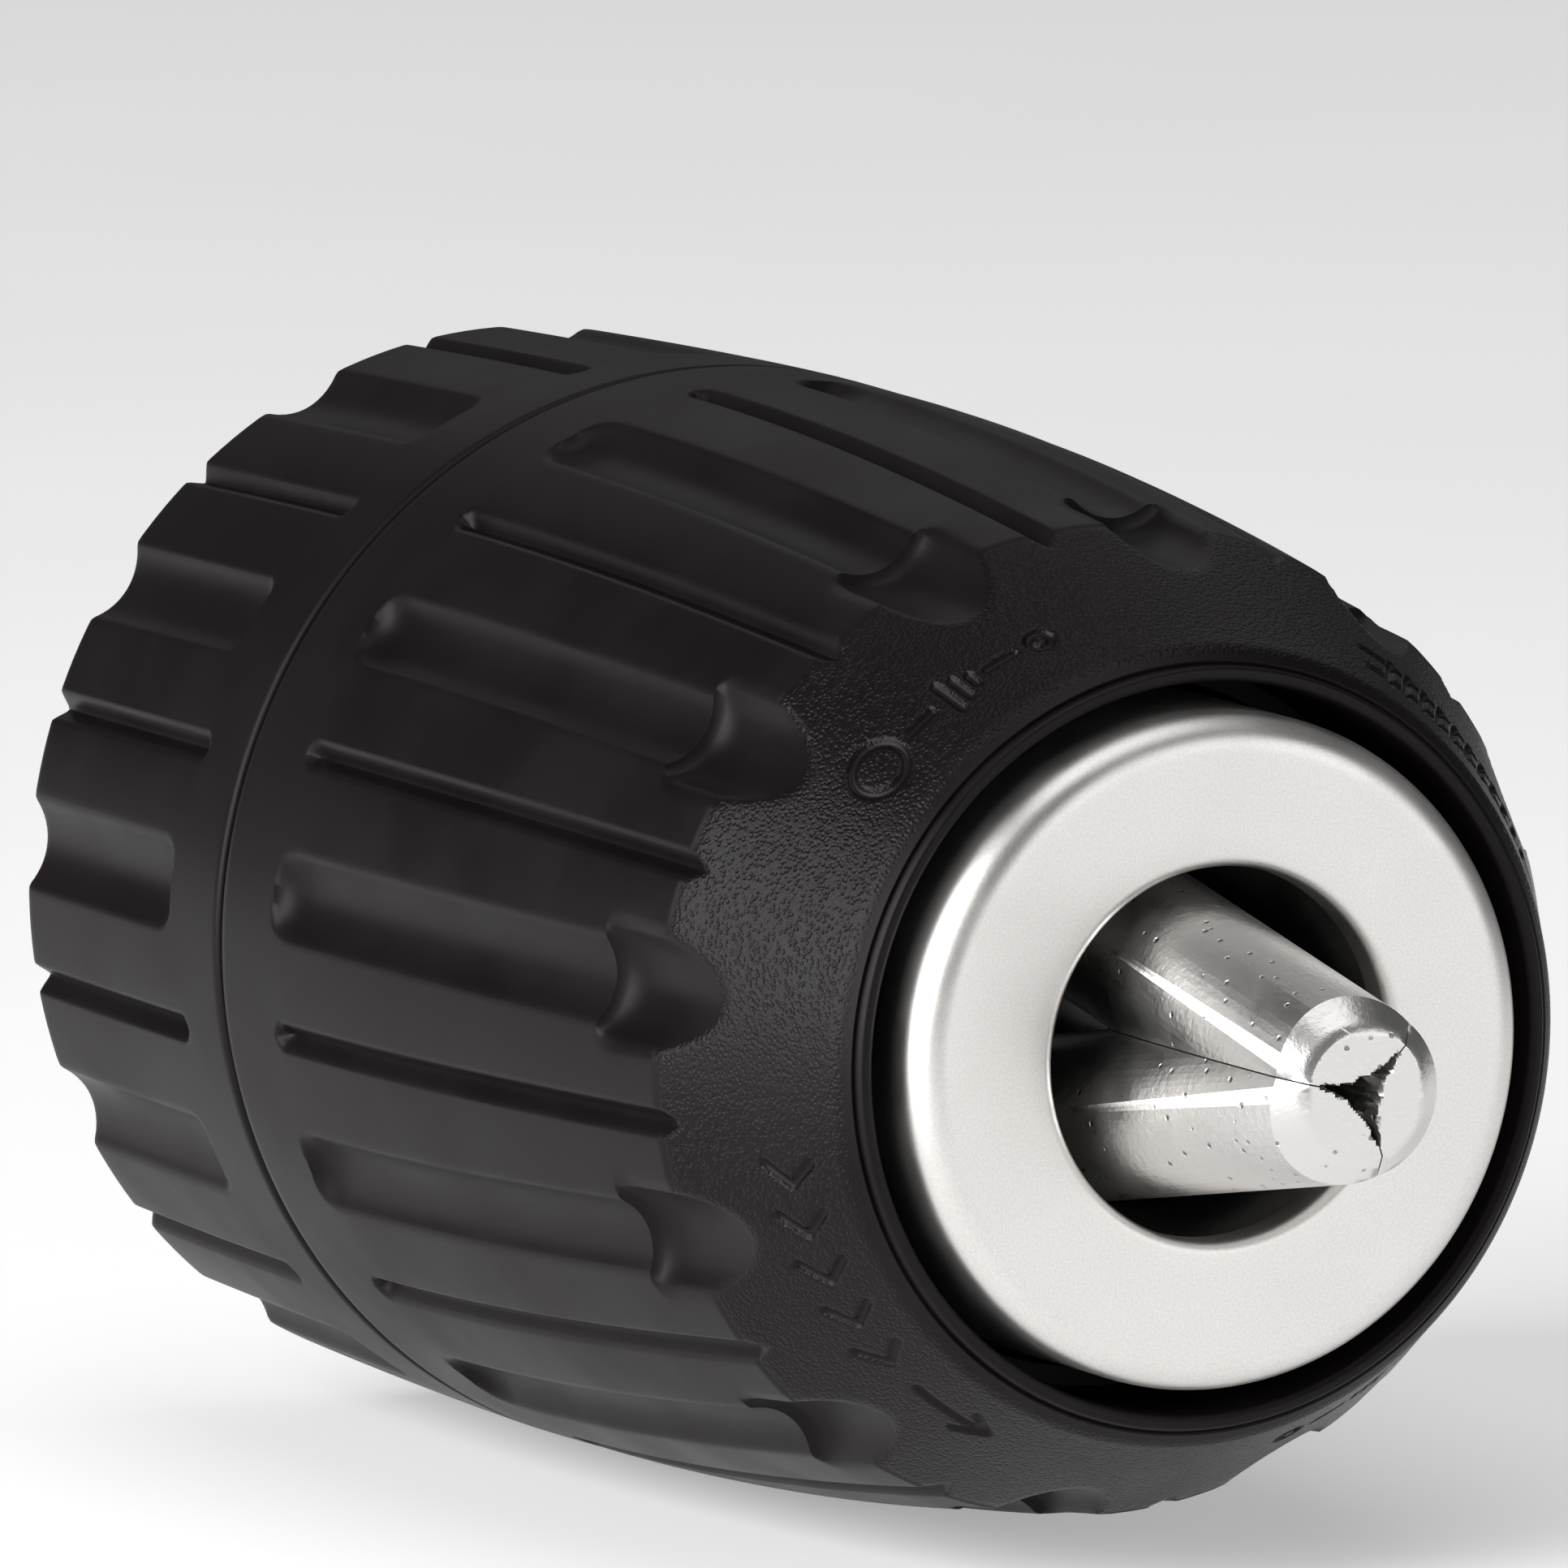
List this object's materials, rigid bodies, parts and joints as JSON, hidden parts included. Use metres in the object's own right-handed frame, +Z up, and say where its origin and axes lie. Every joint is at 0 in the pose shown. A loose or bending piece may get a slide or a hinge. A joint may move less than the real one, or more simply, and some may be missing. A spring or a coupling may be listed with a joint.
{
  "type": "keyless drill chuck",
  "caption": "Keyless drill chuck with two fluted black sleeves, a bead-blasted steel nose cap and three inclined jaws, shown closed.",
  "frame": {"origin": "on the chuck's axis at the spindle face, which is the mouth of the spindle thread", "axes": "-Y along the axis from the spindle face to the jaw tips, +Z up with the chuck lying on its side, +X to the right seen from the front"},
  "size_m": [0.043, 0.075, 0.043],
  "materials": {
    "moulded_plastic": "fine spark-eroded grain",
    "blasted_steel": "bead blasted, satin",
    "jaw_steel": "hardened, barrel finished",
    "body_steel": "turned and oiled",
    "nut_steel": "turned",
    "race_steel": "ground",
    "ball_steel": "polished",
    "cage_brass": "pressed",
    "cover_zinc": "zinc plated"
  },
  "bodies": {
    "chuck": {"chuck_body": "body_steel", "thrust_race_rear": "race_steel", "rear_sleeve": "moulded_plastic", "rear_cover": "cover_zinc", "nose_cap": "blasted_steel"},
    "sleeve": {"front_sleeve": "moulded_plastic", "nut_shell": "nut_steel", "nut_half_1": "nut_steel", "nut_half_2": "nut_steel", "thrust_race_front": "race_steel"},
    "bearing": {"ball_cage": "cage_brass", "thrust_balls": "ball_steel"},
    "jaw_a": {"jaw_1": "jaw_steel"},
    "jaw_b": {"jaw_2": "jaw_steel"},
    "jaw_c": {"jaw_3": "jaw_steel"}
  },
  "joints": [
    {"name": "sleeve_turn", "type": "hinge", "parent": "chuck", "child": "sleeve", "pos_m": [0, 0, 0], "axis": [0, -1, 0], "range_deg": [0, 3742]},
    {"name": "bearing_turn", "type": "hinge", "parent": "chuck", "child": "bearing", "pos_m": [0, 0, 0], "axis": [0, -1, 0], "range_deg": [0, 1872]},
    {"name": "jaw_a_slide", "type": "slide", "parent": "chuck", "child": "jaw_a", "axis": [-0.0646, 0.9744, 0.2155], "range_m": [0, 0.02667]},
    {"name": "jaw_b_slide", "type": "slide", "parent": "chuck", "child": "jaw_b", "axis": [-0.1543, 0.9744, -0.1637], "range_m": [0, 0.02667]},
    {"name": "jaw_c_slide", "type": "slide", "parent": "chuck", "child": "jaw_c", "axis": [0.2189, 0.9744, -0.0517], "range_m": [0, 0.02667]}
  ],
  "couplings": [
    {"joint": "bearing_turn", "follows": "sleeve_turn", "ratio": 0.5},
    {"joint": "jaw_a_slide", "follows": "sleeve_turn", "m_per_rad": 0.00040835},
    {"joint": "jaw_b_slide", "follows": "sleeve_turn", "m_per_rad": 0.00040835},
    {"joint": "jaw_c_slide", "follows": "sleeve_turn", "m_per_rad": 0.00040835}
  ]
}
